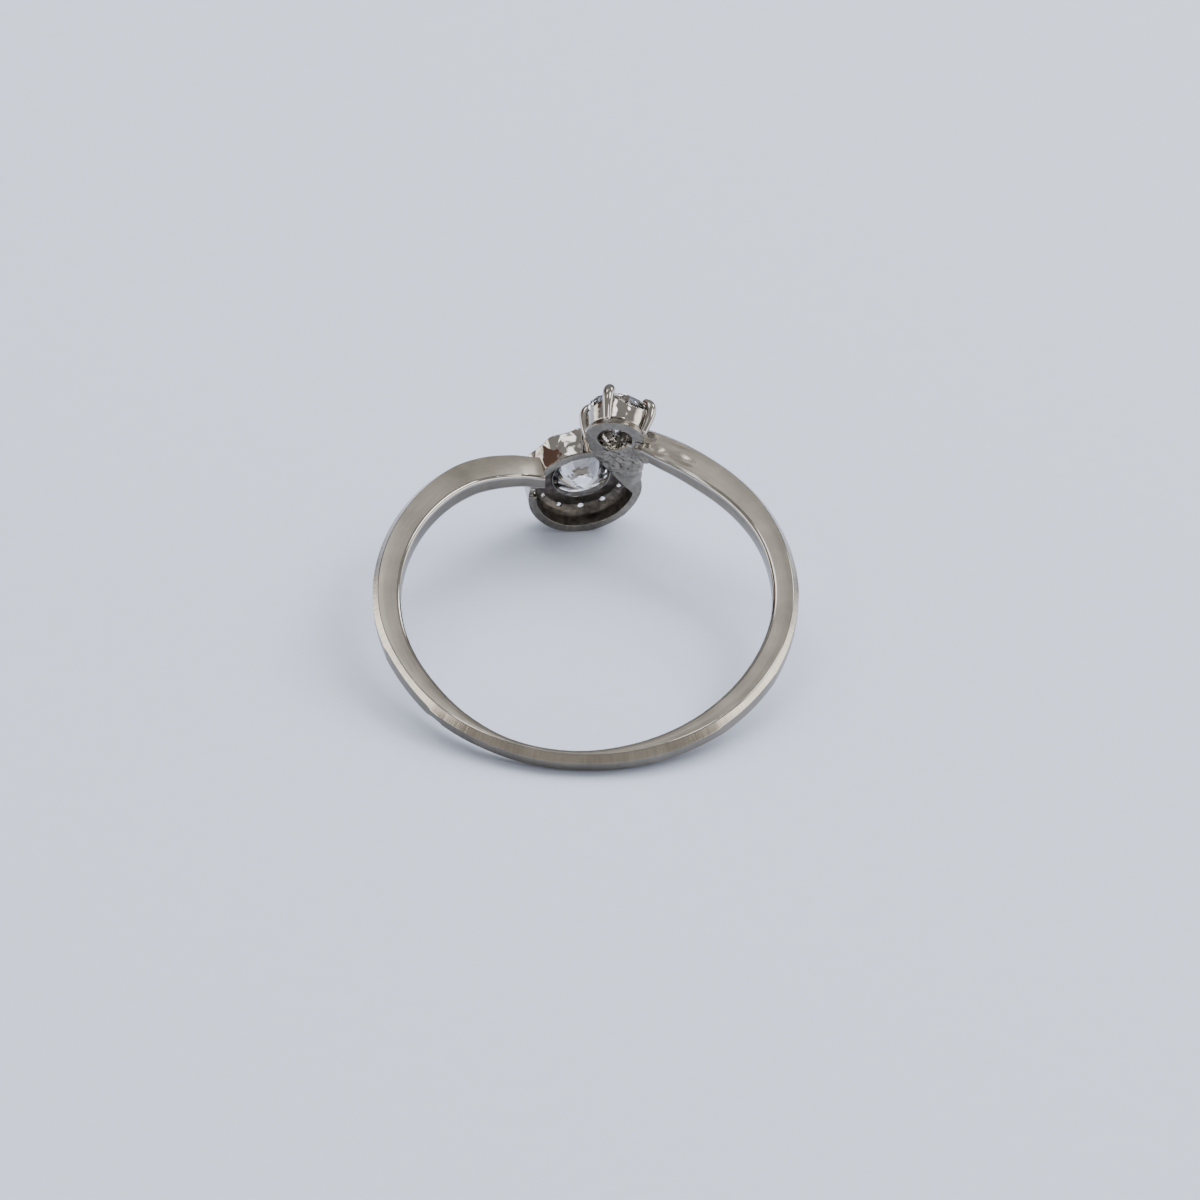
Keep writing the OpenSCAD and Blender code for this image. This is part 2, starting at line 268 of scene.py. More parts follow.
# Shank
# A narrow band of white gold, thicker towards the heads. Its side faces are
# satin, its outer strip is filed in flats and brushed across, and the inside
# edge is rounded.
BAND_W = 1.05
# Radius of the inside edge, how far the chamfer runs in from a side face, and
# how far a side face swells, at the full width
INSIDE_ROUND, CHAMFER_RUN, DOME = 0.2, 0.28, 0.03
# (angle, thickness of the side face, depth of the chamfer, drift along the
# finger, width)
SHANK = [
    (105, 1.30, 0.16, -1.52, 0.85), (112, 1.36, 0.18, -1.06, 0.85),
    (120, 1.42, 0.20, -0.63, 0.90), (129, 1.36, 0.20, -0.19, 0.95),
    (140, 1.24, 0.22, 0.08, 1.00), (155, 1.13, 0.25, 0.20, BAND_W),
    (172, 1.07, 0.25, 0.18, BAND_W), (190, 1.00, 0.25, 0.08, BAND_W),
    (209, 0.83, 0.25, 0.00, BAND_W), (228, 0.75, 0.28, 0.00, BAND_W),
    (248, 0.63, 0.32, 0.00, BAND_W), (270, 0.57, 0.33, 0.00, BAND_W),
    (292, 0.57, 0.33, 0.00, BAND_W), (312, 0.64, 0.31, 0.00, BAND_W),
    (334, 0.75, 0.27, 0.00, BAND_W), (354, 0.88, 0.26, 0.00, BAND_W),
    (370, 1.03, 0.25, 0.00, BAND_W), (385, 1.21, 0.23, 0.01, 1.02),
    (400, 1.42, 0.20, 0.01, 0.97), (416, 1.57, 0.20, 0.04, 0.90),
    (427, 1.64, 0.20, 0.20, 0.78), (440, 1.66, 0.20, 0.41, 0.70)]
# The hole is a little out of round: (angle, offset)
OUT_OF_ROUND = [
    (200, 0.0), (218, 0.0), (234, 0.17), (250, 0.33), (268, 0.28), (286, 0.08),
    (302, -0.08), (320, -0.20), (338, -0.18), (355, -0.05), (372, 0.08), (390, 0.20),
    (415, 0.20), (428, 0.24), (434, 0.36), (440, 0.55)]
# Filed flats of the outer strip: (first angle, last angle, lean in degrees,
# share of a full flat)
FLATS = [
    (177, 201, -2, 0.10), (201, 224, 5, 0.15), (224, 229, -8, 0.0),
    (229, 258, 0, 0.08), (258, 290, -2, 0.08), (290, 311, 0, 0.08),
    (311, 336, 5, 0.15), (336, 365, 1, 0.12)]
# Dents that setting tools left on the right arm: (angle, radius, reach along
# the band, reach across it, depth, how much deeper the outer side is)
DENTS = [
    (434.5, 9.60, 0.30, 0.28, 0.08, 0.03), (431.0, 9.00, 0.36, 0.24, 0.10, 0.02),
    (423.4, 9.14, 0.65, 0.25, 0.09, 0.02), (427.0, 9.85, 0.60, 0.16, 0.04, 0.0)]
# The right arm's angles, and the depth at which a dent is rubbed quite smooth
DENTED_FROM, DENTED_TO, RUBBED_DEPTH = 30, 90, 0.04
# The angles at which the outline is drawn, closer together where the dents are
STATIONS = list(range(105, 420)) + [420 + n * 0.4 for n in range(51)]
# Steps of the rounded inside edge and of the side face
ROUND_STEPS, SIDE_STEPS = 5, 20
# Corners of the softened edges, (outwards, up) from the side face's outer edge
# and from the strip's edge
SIDE_EDGE = [(-0.03, 0.004), (0.008, -0.018), (0.03, -0.05)]
STRIP_EDGE = [(-0.03, 0.04), (-0.004, 0.008)]
# Where the strip's flat middle starts, as a share of half its width
STRIP_INNER = 0.8


def between(rows, angle):
    """The row at an angle, on a smooth curve through the rows."""
    if angle <= rows[0][0]:
        return rows[0]
    if angle >= rows[-1][0]:
        return rows[-1]
    i = max(k for k, row in enumerate(rows[:-1]) if row[0] <= angle)
    a, b, c, d = (rows[min(max(k, 0), len(rows) - 1)] for k in (i - 1, i, i + 1, i + 2))
    t = (angle - b[0]) / (c[0] - b[0])
    return [
        0.5 * (2 * q + (r - p) * t + (2 * p - 5 * q + 4 * r - s) * t * t
               + (3 * q - p - 3 * r + s) * t ** 3)
        for p, q, r, s in zip(a, b, c, d)]


def dent(angle, radius):
    """How deep the upper side face is dented at a place."""
    total = 0
    for at, place, reach, across, depth, lean in DENTS:
        along, out = math.radians(angle - at) * place / reach, (radius - place) / across
        total += (depth + lean * out) * math.exp(-along ** 2 - out ** 2)
    return total


def shank_section(angle):
    """Outline of the shank at an angle, (radius, height) from the middle of
    the inside over the upper edge to the middle of the outer strip and back."""
    _, wall, chamfer, drift, width = between(SHANK, angle)
    inner = FINGER_R + between(OUT_OF_ROUND, angle)[1]
    outer = FINGER_R + wall
    share = width / BAND_W
    half, soft, slope = width / 2, INSIDE_ROUND * share, CHAMFER_RUN * share
    lean = flat = 0
    for first, last, degrees, flatness in FLATS:
        if first < angle < last:
            middle, reach = math.radians((first + last) / 2), math.radians(last - first) / 2
            cut = math.cos(reach) / math.cos(math.radians(angle) - middle) - 1
            flat = (outer + chamfer) * cut * flatness
            lean = math.tan(math.radians(degrees))
    strip = outer + chamfer + flat
    strip_half = half - slope
    side = []
    for k in range(ROUND_STEPS + 1):
        a = k / ROUND_STEPS * math.pi / 2
        side.append((inner + soft * (1 - math.cos(a)), half - soft * (1 - math.sin(a))))
    for k in range(1, SIDE_STEPS):
        t = k / SIDE_STEPS
        side.append((
            inner + soft + (outer - inner - soft) * t, half + DOME * math.sin(math.pi * t)))
    side += [(outer + out, half + up) for out, up in SIDE_EDGE]
    edge = strip_half * STRIP_INNER
    upper = side + [
        (strip - lean * strip_half + out, strip_half + up) for out, up in STRIP_EDGE]
    upper.append((strip - lean * edge, edge))
    lower = [(strip + lean * edge, -edge)] + [
        (strip + lean * strip_half + out, -strip_half - up) for out, up in STRIP_EDGE[::-1]]
    lower += [(r, -z) for r, z in side[::-1]]
    return [(r, z - dent(angle, r) + drift) for r, z in upper] + [
        (r, z + drift) for r, z in lower]


def drawn_bar(name, sections):
    """A bar whose outline is extruded through sections, each a list of the
    places of the outline's corners. The corners' numbers stay in an attribute."""
    bpy.ops.object.select_all(action="DESELECT")
    bpy.ops.mesh.primitive_circle_add(
        vertices=len(sections[0]), radius=1, fill_type="NOTHING")
    bar = bpy.context.object
    bar.name = name
    bpy.ops.object.mode_set(mode="EDIT")
    mesh = bmesh.from_edit_mesh(bar.data)
    corner = mesh.verts.layers.int.new("corner")
    for index, vertex in enumerate(mesh.verts):
        vertex[corner] = index
    bmesh.update_edit_mesh(bar.data)
    for n, section in enumerate(sections):
        if n:
            bpy.ops.mesh.extrude_region_move()
        mesh = bmesh.from_edit_mesh(bar.data)
        corner = mesh.verts.layers.int["corner"]
        for vertex in mesh.verts:
            if vertex.select:
                vertex.co = section[vertex[corner]]
        bmesh.update_edit_mesh(bar.data)
    bpy.ops.mesh.select_all(action="DESELECT")
    bpy.ops.mesh.select_non_manifold()
    bpy.ops.mesh.fill_holes(sides=0)
    bpy.ops.mesh.select_all(action="SELECT")
    bpy.ops.mesh.normals_make_consistent(inside=False)
    bpy.ops.object.mode_set(mode="OBJECT")
    return bar


sections = []
for degrees in STATIONS:
    angle = math.radians(degrees)
    sections.append([
        (radius * math.cos(angle), radius * math.sin(angle), height)
        for radius, height in shank_section(degrees)])
shank = drawn_bar("shank", sections)
finishes = (polished, satin, crossbrushed, shade_darkened)
for material in finishes:
    shank.data.materials.append(material)
rubbed = shank.data.attributes.new("rubbed", "FLOAT", "POINT")
for vertex, value in zip(shank.data.vertices, rubbed.data):
    x, y, z = vertex.co
    angle = math.degrees(math.atan2(y, x))
    if z > 0 and DENTED_FROM < angle < DENTED_TO:
        value.value = max(0, min(dent(angle + 360, math.hypot(x, y)) / RUBBED_DEPTH, 1))

# The bore's middle and the strip get the darker metal, which is painted shade, the side faces
# satin, the chamfers brushed and the edges between them polished. A face is told by its
# corners, which are counted from the bore's middle.
last_corner = len(shank_section(STATIONS[0])) - 1
SIDE_LAST = ROUND_STEPS + SIDE_STEPS
CHAMFER_FIRST = SIDE_LAST + len(SIDE_EDGE) - 1
STRIP_FIRST = CHAMFER_FIRST + len(STRIP_EDGE)
corners = [c.value for c in shank.data.attributes["corner"].data]
for face in shank.data.polygons:
    middle = sum(
        min(corners[v], last_corner - corners[v]) for v in face.vertices) / len(face.vertices)
    if middle == 0 or middle > STRIP_FIRST:
        # Painted shade: the darker metal colour on the bore's middle and the strip
        face.material_index = finishes.index(shade_darkened)
    elif ROUND_STEPS < middle < SIDE_LAST:
        face.material_index = finishes.index(satin)
    elif middle > CHAMFER_FIRST:
        face.material_index = finishes.index(crossbrushed)
shank.data.attributes.remove(shank.data.attributes["corner"])
shank.matrix_world = RING
bpy.ops.object.transform_apply(location=True, rotation=True, scale=True)
bpy.ops.object.shade_smooth_by_angle(angle=math.radians(35))

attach(shank, "root")
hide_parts("ring_metal")

# Halo setting
# A cast white gold cup with a lobe round each of its twelve small stones and
# beads between them. Its back is hollow, filed flat on the rim and dark with
# polish and oxide inside, where the small stones' culets show in drilled holes.

# The halo's own frame starts in the middle of its rim, with z towards the front
HALO = (
    RING
    @ Matrix.Translation((-0.30, 8.80, -2.88))
    @ Matrix.Rotation(math.radians(192.4), 4, "Z")
    @ Matrix.Rotation(math.radians(93), 4, "X")
)
SKIRT_R, SKIRT_FLARE, RIM_T = 2.70, 0.04, 0.40
HOLLOW_R = SKIRT_R - RIM_T
# Heights over the rim
HOLLOW_H, FRONT_H = 1.10, 1.50
# The hollow's wall from the rim to its rounded foot: (inwards, height)
HOLLOW_WALL = [(0, -0.1), (-0.02, 0.66), (0.08, 0.90), (0.30, HOLLOW_H)]
STONES_AROUND, STONE_RING_R = 12, 2.12
SMALL_STONE_R, SMALL_GIRDLE_H = 0.48, 1.54
CENTRE_STONE_R, CENTRE_GIRDLE_H = 1.45, 1.50
SEAT_GAP = 0.03
# Shares of a stone's radius: half its edge, the depth of its back, the radius
# of its table and the height of its front
EDGE_SHARE, BACK_SHARE, TABLE_SHARE, FRONT_SHARE = 0.02, 0.86, 0.66, 0.30
# How far a seat is cut open over its stone's edge
OPEN_ABOVE = 1.2
# A lobe starts this far over the rim and widens to the front
LOBE_FROM, LOBE_BACK_R, LOBE_FRONT_R = 0.30, 0.52, 0.74
# Beads between the small stones: (distance from the middle, radius)
BEADS = [(2.40, 0.20), (1.80, 0.14)]
BEAD_H = FRONT_H + 0.02
# The claws over the centre stone's edge: posts with round tips further in
FRONT_CLAWS, FRONT_CLAW_TURN = 4, 45
CLAW_R, POST_H, POST_AT, TIP_AT = 0.18, 0.5, (1.6, 0, 1.45), (1.52, 0, 1.7)
# The hole in the hollow's floor, and the drilled holes for the culets
FLOOR_HOLE_R, FLOOR_HOLE_H, FLOOR_HOLE_AT = 1.42, 0.55, 1.175
CULET_HOLE_R, CULET_HOLE_H, CULET_HOLE_AT = 0.14, 0.4, 1.2
# A flaw of the casting in the rim: radius, depth, place and turn
PIT_R, PIT_DEPTH, PIT_AT, PIT_TURN = 0.26, 0.6, (2.36, 0, 0.06), 9
# Solder fills the hollow past a line across it: (distance, turn)
FILL_AT, FILL_TURN = 1.58, 146
# The small head's base ring stands on this solder, in a frame of its own that
# starts in the middle of the base ring's back, with z towards the stone
SOLO = (
    RING
    @ Matrix.Translation((0.95, 8.80, 0.98))
    @ Matrix.Rotation(math.radians(176), 4, "Z")
    @ Matrix.Rotation(math.radians(84.4), 4, "X")
)
BASE_R, BASE_H = 1.36, 0.30
BASE_HOLE_R, BASE_HOLE_H, BASE_HOLE_AT = 0.80, 1.4, 0.3
# Corners of the filed solder on the halo's back, and how thick it is
FILL_CORNERS, FILL_H = [(-0.06, 3.02), (-2.12, -0.02), (-2.68, 0.36), (-2.68, 1.87)], 1.1
# The part of the base ring that the solder reaches: how far in from its edge,
# how far up, how far from its middle, and which way down is
REACH_IN, REACH_UP, REACH_FROM, REACH_TURN = 0.05, 0.02, -0.25, -22
# The right arm's angles between which the solder runs along it
ARM_FROM, ARM_TO = 73, 100
DROP_R, DROP_AT = 0.42, (-2.15, 3.6, -0.35)
# Where the solder has run smooth: middle, radius and soft edge
SOLDER_AT, SOLDER_R, SOLDER_EDGE = Vector((-1.95, 2.35, -0.4)), 1.7, 0.6
# The grid that the casting is melted on, and the share of its faces that is kept
VOXEL, KEPT_SHARE = 0.032, 0.6
# Rounds of smoothing for the solder, and the size and depth of its ripples
SOLDER_ROUNDS, RIPPLE_SIZE, RIPPLE_DEPTH = 40, 0.45, 0.34
# Size and depth of the unevenness that handwork leaves
HAND_WORK_SIZE, HAND_WORK_DEPTH = 0.9, 0.07
# How far the filed surfaces, darkened as painted shade, and the oxidised surfaces reach past
# the hollow's edges: up from a face, across from the wall, and across from the fill's line
UP_SPILL, WALL_SPILL, FILL_SPILL = 0.06, 0.05, 0.03


def select_only(piece):
    """Makes a piece the one that operators act on."""
    bpy.ops.object.select_all(action="DESELECT")
    piece.select_set(True)
    bpy.context.view_layer.objects.active = piece


def placed():
    """The new primitive, with its place in its mesh."""
    bpy.ops.object.transform_apply(location=True, rotation=True, scale=True)
    return bpy.context.object


def cylinder(sides, radius, depth, at=(0, 0, 0), turn=(0, 0, 0)):
    """A cylinder round the middle of its height."""
    bpy.ops.object.select_all(action="DESELECT")
    bpy.ops.mesh.primitive_cylinder_add(
        vertices=sides, radius=radius, depth=depth, location=at, rotation=turn)
    return placed()


def ball(sides, rings, radius, at):
    """A ball round its middle."""
    bpy.ops.object.select_all(action="DESELECT")
    bpy.ops.mesh.primitive_uv_sphere_add(
        segments=sides, ring_count=rings, radius=radius, location=at)
    return placed()


def turned(name, profile, steps=96):
    """A piece turned on the lathe from a closed profile of (radius, height)."""
    bpy.ops.object.select_all(action="DESELECT")
    bpy.ops.mesh.primitive_circle_add(vertices=len(profile), radius=1, fill_type="NOTHING")
    piece = bpy.context.object
    piece.name = name
    bpy.ops.object.mode_set(mode="EDIT")
    mesh = bmesh.from_edit_mesh(piece.data)
    for vertex, (radius, height) in zip(mesh.verts, profile):
        vertex.co = (radius, 0, height)
    bmesh.update_edit_mesh(piece.data)
    bpy.ops.mesh.select_all(action="SELECT")
    bpy.ops.mesh.spin(steps=steps, angle=2 * math.pi, center=(0, 0, 0), axis=(0, 0, 1))
    bpy.ops.mesh.select_all(action="SELECT")
    bpy.ops.mesh.remove_doubles(threshold=0.0001)
    bpy.ops.mesh.dissolve_degenerate()
    bpy.ops.mesh.delete_loose()
    bpy.ops.mesh.select_all(action="SELECT")
    bpy.ops.mesh.normals_make_consistent(inside=False)
    bpy.ops.object.mode_set(mode="OBJECT")
    return piece


def cut_off(piece, place, outwards):
    """Cuts off what lies past a plane, and closes the cut."""
    select_only(piece)
    bpy.ops.object.mode_set(mode="EDIT")
    bpy.ops.mesh.select_all(action="SELECT")
    bpy.ops.mesh.bisect(plane_co=place, plane_no=outwards, clear_outer=True, use_fill=True)
    bpy.ops.object.mode_set(mode="OBJECT")


def repeat(piece, count, radius=0.0, turn=0.0):
    """Copies of a piece round the Z axis, the piece itself among them."""
    copies = []
    for n in range(count):
        angle = math.radians(turn) + 2 * math.pi * n / count
        copy = piece if n == count - 1 else piece.copy()
        if copy is not piece:
            copy.data = piece.data.copy()
            bpy.context.collection.objects.link(copy)
        copy.data.transform(
            Matrix.Rotation(angle, 4, "Z") @ Matrix.Translation((radius, 0, 0)))
        copies.append(copy)
    return copies


def joined(name, pieces):
    """One object from several."""
    select_only(pieces[0])
    for piece in pieces:
        piece.select_set(True)
    bpy.ops.object.join()
    whole = bpy.context.object
    whole.name = name
    return whole


def finish_modifier(piece, kind, **settings):
    """Adds a modifier, sets it up and applies it."""
    select_only(piece)
    modifier = piece.modifiers.new(kind.lower(), kind)
    for name, value in settings.items():
        setattr(modifier, name, value)
    bpy.ops.object.modifier_apply(modifier=modifier.name)


def cast(piece, cutters, voxel, rounds=6):
    """Melts a piece's parts into one, cuts it, and softens its edges as casting
    and polishing do."""
    finish_modifier(piece, "REMESH", mode="VOXEL", voxel_size=voxel, use_smooth_shade=True)
    for cutter in cutters:
        finish_modifier(
            piece, "BOOLEAN", operation="DIFFERENCE", solver="MANIFOLD", object=cutter)
        bpy.data.objects.remove(cutter)
    finish_modifier(piece, "REMESH", mode="VOXEL", voxel_size=voxel, use_smooth_shade=True)
    finish_modifier(piece, "SMOOTH", factor=0.5, iterations=rounds)


def settle(piece, pose):
    """Puts a piece made in its own frame where it belongs on the ring."""
    select_only(piece)
    piece.matrix_world = pose
    bpy.ops.object.transform_apply(location=True, rotation=True, scale=True)
    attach(piece, "root")


def stone_room(radius, height):
    """The space of a stone in its seat, gap included, open to the front."""
    wide = radius + SEAT_GAP
    edge = EDGE_SHARE * radius + SEAT_GAP
    return [
        (0, height - edge - BACK_SHARE * radius - SEAT_GAP), (wide, height - edge),
        (wide, height + edge), (TABLE_SHARE * wide, height + edge + FRONT_SHARE * radius),
        (TABLE_SHARE * wide, height + OPEN_ABOVE), (0, height + OPEN_ABOVE)]


skirt = turned("halo_setting", [
    (0, 0), (SKIRT_R, 0), (SKIRT_R + SKIRT_FLARE, FRONT_H), (0, FRONT_H)])
bpy.ops.object.select_all(action="DESELECT")
bpy.ops.mesh.primitive_cone_add(
    vertices=32, radius1=LOBE_BACK_R, radius2=LOBE_FRONT_R, depth=FRONT_H - LOBE_FROM,
    location=(0, 0, (FRONT_H + LOBE_FROM) / 2))
lobes = repeat(placed(), STONES_AROUND, STONE_RING_R)
beads = []
for place, size in BEADS:
    beads += repeat(
        ball(20, 12, size, (0, 0, BEAD_H)), STONES_AROUND, place, 180 / STONES_AROUND)
front_claw = joined(
    "claw", [cylinder(24, CLAW_R, POST_H, POST_AT), ball(24, 12, CLAW_R, TIP_AT)])
front_claws = repeat(front_claw, FRONT_CLAWS, 0, FRONT_CLAW_TURN)

# The base ring, cast with the halo, because solder runs from it down to the
# halo's rim and along to the right arm
to_halo = HALO.inverted() @ SOLO
base_ring = cylinder(96, BASE_R, BASE_H, (0, 0, BASE_H / 2))
base_ring.data.transform(to_halo)

# Solder filed flat, drawn round the corners of the fill and the lower right
# quarter of the base ring
web = cylinder(4, 1, FILL_H, (0, 0, FILL_H / 2))
for vertex in web.data.vertices:
    step = round(math.atan2(vertex.co.y, vertex.co.x) / (math.pi / 2)) % 4
    vertex.co.x, vertex.co.y = FILL_CORNERS[step]
quarter = cylinder(48, BASE_R - REACH_IN, BASE_H, (0, 0, BASE_H / 2 + REACH_UP))
down = Matrix.Rotation(math.radians(REACH_TURN), 3, "Z") @ Vector((0, 1, 0))
cut_off(quarter, REACH_FROM * down, down)
quarter.data.transform(to_halo)
web = joined("web", [web, quarter])
bpy.ops.object.mode_set(mode="EDIT")
bpy.ops.mesh.select_all(action="SELECT")
bpy.ops.mesh.convex_hull()
bpy.ops.object.mode_set(mode="OBJECT")

# The last stretch of the right arm, for the solder to run along
arm_end = bpy.data.objects.new("arm_end", shank.data.copy())
arm_end.data.materials.clear()
bpy.context.collection.objects.link(arm_end)
arm_end.data.transform(RING.inverted())
for degrees in (ARM_FROM, ARM_TO + 180):
    a = math.radians(degrees)
    cut_off(arm_end, (0, 0, 0), (math.sin(a), -math.cos(a), 0))
arm_end.data.transform(HALO.inverted() @ RING)

# A drop of solder between the base ring and the arm
drop = ball(32, 16, DROP_R, DROP_AT)

halo = joined(
    "halo_setting", [skirt, web, base_ring, arm_end, drop] + lobes + beads + front_claws)

hollow = turned("hollow", [(0, HOLLOW_WALL[0][1])] + [
    (HOLLOW_R - inwards, height) for inwards, height in HOLLOW_WALL] + [(0, HOLLOW_H)])
chord = Matrix.Rotation(math.radians(FILL_TURN), 3, "Z") @ Vector((1, 0, 0))
cut_off(hollow, FILL_AT * chord, chord)
seats = repeat(
    turned("seat", stone_room(SMALL_STONE_R, SMALL_GIRDLE_H), 32), STONES_AROUND,
    STONE_RING_R)
culet_holes = repeat(
    cylinder(24, CULET_HOLE_R, CULET_HOLE_H, (0, 0, CULET_HOLE_AT)), STONES_AROUND,
    STONE_RING_R)
centre_room = turned("centre_room", stone_room(CENTRE_STONE_R, CENTRE_GIRDLE_H))
floor_hole = cylinder(96, FLOOR_HOLE_R, FLOOR_HOLE_H, (0, 0, FLOOR_HOLE_AT))
head_hole = cylinder(64, BASE_HOLE_R, BASE_HOLE_H, (0, 0, BASE_HOLE_AT))
head_hole.data.transform(to_halo)
pit = cylinder(24, PIT_R, PIT_DEPTH, PIT_AT, (0, math.pi / 2, 0))
pit.data.transform(Matrix.Rotation(math.radians(PIT_TURN), 4, "Z"))
cast(halo, [
    hollow, centre_room, floor_hole, head_hole, joined("seats", [pit] + seats),
    joined("culet_holes", culet_holes)], VOXEL)

# Solder runs into a smooth, rippled fillet between the web, the base ring and
# the arm, and the whole casting is slightly uneven from handwork
solder = halo.vertex_groups.new(name="solder")
for vertex in halo.data.vertices:
    share = (SOLDER_R - (vertex.co - SOLDER_AT).length) / SOLDER_EDGE
    if share > 0:
        solder.add([vertex.index], min(share, 1), "REPLACE")
finish_modifier(
    halo, "SMOOTH", factor=0.5, iterations=SOLDER_ROUNDS, vertex_group="solder")
ripple = bpy.data.textures.new("solder_ripple", "CLOUDS")
ripple.noise_scale = RIPPLE_SIZE
finish_modifier(
    halo, "DISPLACE", texture=ripple, strength=RIPPLE_DEPTH, mid_level=0.5,
    texture_coords="LOCAL", vertex_group="solder")
halo.vertex_groups.clear()
hand_work = bpy.data.textures.new("hand_work", "CLOUDS")
hand_work.noise_scale = HAND_WORK_SIZE
finish_modifier(
    halo, "DISPLACE", texture=hand_work, strength=HAND_WORK_DEPTH, mid_level=0.5,
    texture_coords="LOCAL")
finish_modifier(halo, "DECIMATE", ratio=KEPT_SHARE)

# Oxidised: dark, dull and blotchy with polish that stays in the hollow
oxidised = metal(
    "oxidised_white_gold", "6A655F", roughness=0.40, bump=0.6, lay=(3, 3, 3), mottle=0.40)
# Filed: a flat grey shine with short scratches, its colour darker than the polished metal as
# painted shade for the shaded card that the rim and the solder mirror
filed_and_shaded = metal(
    "filed_and_shaded_white_gold", "837E75", roughness=0.22, bump=0.6, lay=(6, 2, 6), mottle=0.18)
halo.data.materials.clear()
finishes = (polished, oxidised, filed_and_shaded)
for material in finishes:
    halo.data.materials.append(material)
for face in halo.data.polygons:
    x, y, z = face.center
    radius = math.hypot(x, y)
    filled = face.center @ chord > FILL_AT - FILL_SPILL
    # The filed faces get the darker metal, which is painted shade
    if z < UP_SPILL and (radius > HOLLOW_R - WALL_SPILL or filled):
        face.material_index = finishes.index(filed_and_shaded)
    elif z < HOLLOW_H + UP_SPILL and radius < HOLLOW_R + WALL_SPILL and not filled:
        face.material_index = finishes.index(oxidised)
settle(halo, HALO)
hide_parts("ring_metal")

# Collet
# A turned white gold ring in the hollow's floor. It holds the centre stone low
# down, so that the stone's point stands in the hollow.
# Its profile: (radius, height)
COLLET = [
    (1.345, 1.045), (1.36, 1.025), (1.385, 1.025), (1.41, 1.05), (1.45, 1.13),
    (1.50, 1.30), (1.50, 1.46), (1.487, 1.46), (1.487, 1.43), (1.345, 1.31)]
collet = turned("centre_collet", COLLET, 128)
select_only(collet)
bpy.ops.object.shade_smooth_by_angle(angle=math.radians(40))
collet.data.materials.append(polished)
settle(collet, HALO)
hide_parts("ring_metal")

# Small head
# A turned white gold cup with a scalloped edge, which stands on the base ring
# and is blackened inside by the flame.
# Its profile: (radius, height)
CUP = [
    (0.82, 0.10), (1.14, 0.10), (1.14, 0.34), (1.24, 0.42), (1.46, 1.52), (1.43, 1.56),
    (0.82, 1.04)]
CUP_TOP, CUP_INSIDE_R = 1.52, 0.86
SCALLOP_R, SCALLOP_DEPTH, SCALLOP_LENGTH = 1.5, 0.34, 6
CUP_VOXEL, CUP_ROUNDS, CUP_UNEVENNESS = 0.03, 4, 0.06
# The claws stand between the scallops
CLAWS, CLAW_TURN = 4, 73
cup = turned("small_head", CUP)
scallops = []
for n in range(CLAWS // 2):
    scallop = cylinder(
        96, SCALLOP_R, SCALLOP_LENGTH, (0, 0, CUP_TOP + SCALLOP_R - SCALLOP_DEPTH),
        (0, math.pi / 2, 0))
    turn = math.radians(CLAW_TURN + (n + 0.5) * 360 / CLAWS)
    scallop.data.transform(Matrix.Rotation(turn, 4, "Z"))
    scallops.append(scallop)
cast(cup, scallops, CUP_VOXEL, CUP_ROUNDS)
finish_modifier(
    cup, "DISPLACE", texture=hand_work, strength=CUP_UNEVENNESS, mid_level=0.5,
    texture_coords="LOCAL")
cup.data.materials.clear()
finishes = (polished, oxidised)
for material in finishes:
    cup.data.materials.append(material)
for face in cup.data.polygons:
    if math.hypot(*face.center[:2]) < CUP_INSIDE_R:
        face.material_index = finishes.index(oxidised)
settle(cup, SOLO)
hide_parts("ring_metal")

# Claws
# Four round white gold wires, thicker towards their tips. Each is soldered to
# the cup's wall and bent over the stone's edge.
# Path of a claw: (radius, height, half thickness)
CLAW = [
    (1.34, 0.28, 0.18), (1.44, 0.60, 0.20), (1.53, 0.95, 0.23), (1.58, 1.28, 0.26),
    (1.57, 1.55, 0.28), (1.49, 1.78, 0.28), (1.34, 1.91, 0.24)]
CLAW_SIDES, PATH_STEPS, CAP_STEPS = 16, 24, 5
# A claw's foot and tip are rounded to just short of a point
CAP_ARC = 0.98 * math.pi / 2


def claw_rows():
    """The path of a claw, closed with a rounded foot and tip."""
    numbered = [(n, *row) for n, row in enumerate(CLAW)]
    rows = [
        between(numbered, n / PATH_STEPS * (len(CLAW) - 1))[1:]
        for n in range(PATH_STEPS + 1)]
    caps = []
    for row, other in ((rows[0], rows[1]), (rows[-1], rows[-2])):
        along = Vector((row[0] - other[0], 0, row[1] - other[1])).normalized()
        cap = []
        for k in range(1, CAP_STEPS + 1):
            a = k / CAP_STEPS * CAP_ARC
            cap.append((
                row[0] + along.x * row[2] * math.sin(a),
                row[1] + along.z * row[2] * math.sin(a), row[2] * math.cos(a)))
        caps.append(cap)
    return caps[0][::-1] + rows + caps[1]


def claw_sections():
    """The claw's round outline at each row of its path, square to the path."""
    rows = claw_rows()
    sections = []
    for n, (reach, height, half) in enumerate(rows):
        before, after = rows[max(n - 1, 0)], rows[min(n + 1, len(rows) - 1)]
        along = Vector((after[0] - before[0], 0, after[1] - before[1])).normalized()
        angles = [2 * math.pi * k / CLAW_SIDES for k in range(CLAW_SIDES)]
        sections.append([
            (reach + half * math.cos(a) * along.z, half * math.sin(a),
             height - half * math.cos(a) * along.x) for a in angles])
    return sections


claw = drawn_bar("claw", claw_sections())
claws = joined("small_head_claws", repeat(claw, CLAWS, 0, CLAW_TURN))
claws.data.attributes.remove(claws.data.attributes["corner"])
finish_modifier(claws, "SUBSURF", levels=1, render_levels=1)
select_only(claws)
bpy.ops.object.shade_smooth()
claws.data.materials.append(polished)
settle(claws, SOLO)
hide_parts("ring_metal")

# Stones
# Colourless cut stones. Light that enters one leaves by its other facets, so
# it looks bright in spots and grey between them.
stone, tree, out = new_material("colourless_cut_stone")
place = add(tree, "TexCoord").outputs["Object"]
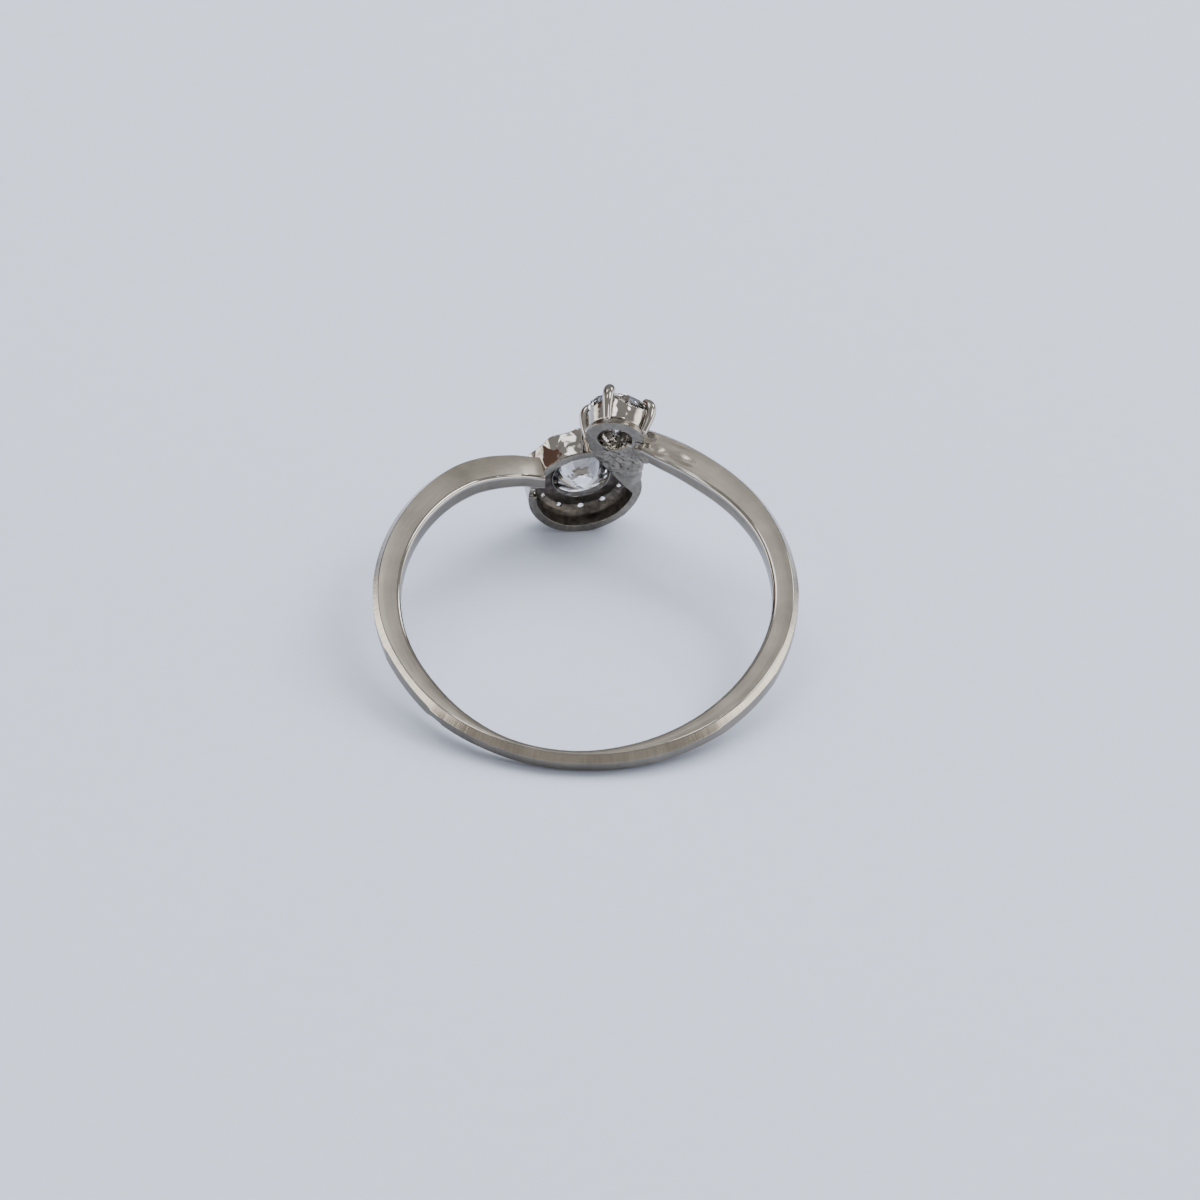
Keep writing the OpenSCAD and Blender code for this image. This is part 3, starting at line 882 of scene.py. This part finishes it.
# A greasy film, in patches of about 1.1 mm
FILM_PER_METRE, FILM_ROUGHNESS = 900.0, 0.04
haze = add(tree, "TexNoise", {"Vector": place, "Scale": FILM_PER_METRE, "Detail": 2.0})
film = add(tree, "MapRange", {
    "Value": haze.outputs["Fac"], "From Min": 0.4, "From Max": 0.7,
    "To Min": 0.0, "To Max": FILM_ROUGHNESS})
surface = add(tree, "BsdfPrincipled", {
    "Base Color": rgb("F6F7F8"), "IOR": 2.4, "Transmission Weight": 1.0,
    "Roughness": film.outputs["Result"]})
tree.links.new(surface.outputs["BSDF"], out.inputs["Surface"])

# The single stone's back, shut in the cup, is painted dull and dark low down: painted shade
# for the dark cup it mirrors
shade_backed_stone = stone.copy()
shade_backed_stone.name = "cut_stone_with_painted_shade_back"
tree = shade_backed_stone.node_tree
# The painted shade thins out between these heights over the base ring, in millimetres
SHADE_TOP, SHADE_FROM = 1.25, 0.85
SHADE_SPOTS_PER_METRE = 2500.0
axis = (SOLO.to_3x3() @ Vector((0, 0, 1))).normalized()
foot = SOLO.translation @ axis
place = add(tree, "TexCoord").outputs["Object"]
height = add(tree, "VectorMath", {0: place, 1: axis}, operation="DOT_PRODUCT")
spots = add(tree, "TexNoise", {
    "Vector": place, "Scale": SHADE_SPOTS_PER_METRE, "Detail": 3.0})
low, spotty = (
    add(tree, "MapRange", {
        "Value": value, "From Min": start, "From Max": end},
        interpolation_type="SMOOTHSTEP").outputs["Result"]
    for value, start, end in (
        (height.outputs["Value"], foot + SHADE_TOP / 1000, foot + SHADE_FROM / 1000),
        (spots.outputs["Fac"], NOISE_LOW, 1.0)))
shade_cover = add(tree, "Math", {0: low, 1: spotty}, operation="MULTIPLY")
shade_film = add(tree, "BsdfPrincipled", {"Base Color": rgb("6B6255"), "Roughness": 0.5})
clear = next(n for n in tree.nodes if n.type == "BSDF_PRINCIPLED" and n != shade_film)
# Mixes the painted shade film over the clear stone
both = add(tree, "MixShader", {
    0: shade_cover.outputs["Value"], 1: clear.outputs["BSDF"], 2: shade_film.outputs["BSDF"]})
out = next(n for n in tree.nodes if n.type == "OUTPUT_MATERIAL")
tree.links.new(both.outputs["Shader"], out.inputs["Surface"])

for name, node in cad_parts.items():
    if name != "ring_metal":
        node.data.materials.clear()
        # The solitaire gets the stone with painted shade on its back
        node.data.materials.append(shade_backed_stone if name == "solitaire_stone" else stone)
